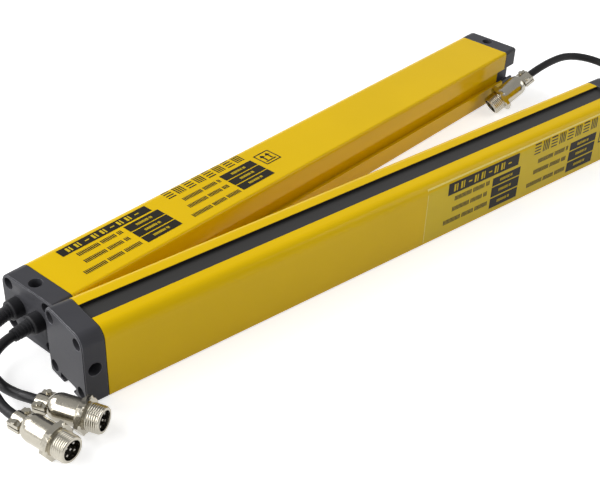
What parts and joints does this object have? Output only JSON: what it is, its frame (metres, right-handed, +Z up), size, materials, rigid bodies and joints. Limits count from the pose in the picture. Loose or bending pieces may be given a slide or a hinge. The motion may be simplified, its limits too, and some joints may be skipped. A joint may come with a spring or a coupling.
{
  "type": "safety light curtain",
  "caption": "Pair of rectangular light curtain bars, emitter and receiver, with dark window strips, end caps and short cables that end in round screw connectors.",
  "frame": {"origin": "centre of the footprint of the two bars, on the surface that they lie on; the cables, glands and plugs don't count", "axes": "+X along the emitter toward its cable end, +Y from the emitter toward the receiver, +Z up"},
  "size_m": [0.4332, 0.1524, 0.036],
  "materials": {
    "housing_paint": "yellow powder coat on extruded aluminium, satin",
    "window": "dark infrared-pass acrylic, fine matt",
    "cap": "black grey glass-filled nylon, satin",
    "gasket": "black rubber sheet",
    "screws": "zinc-plated steel",
    "board": "green solder mask on glass-epoxy board",
    "chip": "black moulded epoxy",
    "carrier": "black light-tight polycarbonate",
    "lens": "clear acrylic, polished",
    "diode": "tinted clear epoxy",
    "gland": "black moulded elastomer",
    "cable": "black jacket, satin",
    "nickel": "satin nickel plate on brass",
    "contact_block": "black moulded nylon",
    "pins": "gold-flashed brass"
  },
  "bodies": {
    "root": {"emitter_housing": "housing_paint", "emitter_window": "window", "emitter_end_cap": "cap", "emitter_cable_cap": "cap", "emitter_end_gasket": "gasket", "emitter_cable_gasket": "gasket", "emitter_end_screws": "screws", "emitter_cable_screws": "screws", "emitter_board": "board", "emitter_board_chips": "chip", "emitter_cable_header": "chip", "emitter_lens_carrier": "carrier", "emitter_lenses": "lens", "emitter_diodes": "diode", "receiver_housing": "housing_paint", "receiver_window": "window", "receiver_end_cap": "cap", "receiver_cable_cap": "cap", "receiver_end_gasket": "gasket", "receiver_cable_gasket": "gasket", "receiver_end_screws": "screws", "receiver_cable_screws": "screws", "receiver_board": "board", "receiver_board_chips": "chip", "receiver_cable_header": "chip", "receiver_lens_carrier": "carrier", "receiver_lenses": "lens", "receiver_diodes": "diode", "receiver_gland_1": "gland", "receiver_cable_1": "cable", "receiver_gland_2": "gland", "receiver_cable_2": "cable", "emitter_gland": "gland", "emitter_cable": "cable", "emitter_plug_shell": "nickel", "emitter_plug_clamp": "nickel", "emitter_plug_socket": "nickel", "emitter_plug_clamp_screws": "screws", "emitter_plug_insert": "contact_block", "emitter_plug_pins": "pins", "receiver_plug_1_shell": "nickel", "receiver_plug_1_clamp": "nickel", "receiver_plug_1_socket": "nickel", "receiver_plug_1_clamp_screws": "screws", "receiver_plug_1_insert": "contact_block", "receiver_plug_1_pins": "pins", "receiver_plug_2_shell": "nickel", "receiver_plug_2_clamp": "nickel", "receiver_plug_2_socket": "nickel", "receiver_plug_2_clamp_screws": "screws", "receiver_plug_2_insert": "contact_block", "receiver_plug_2_pins": "pins"}
  },
  "joints": []
}
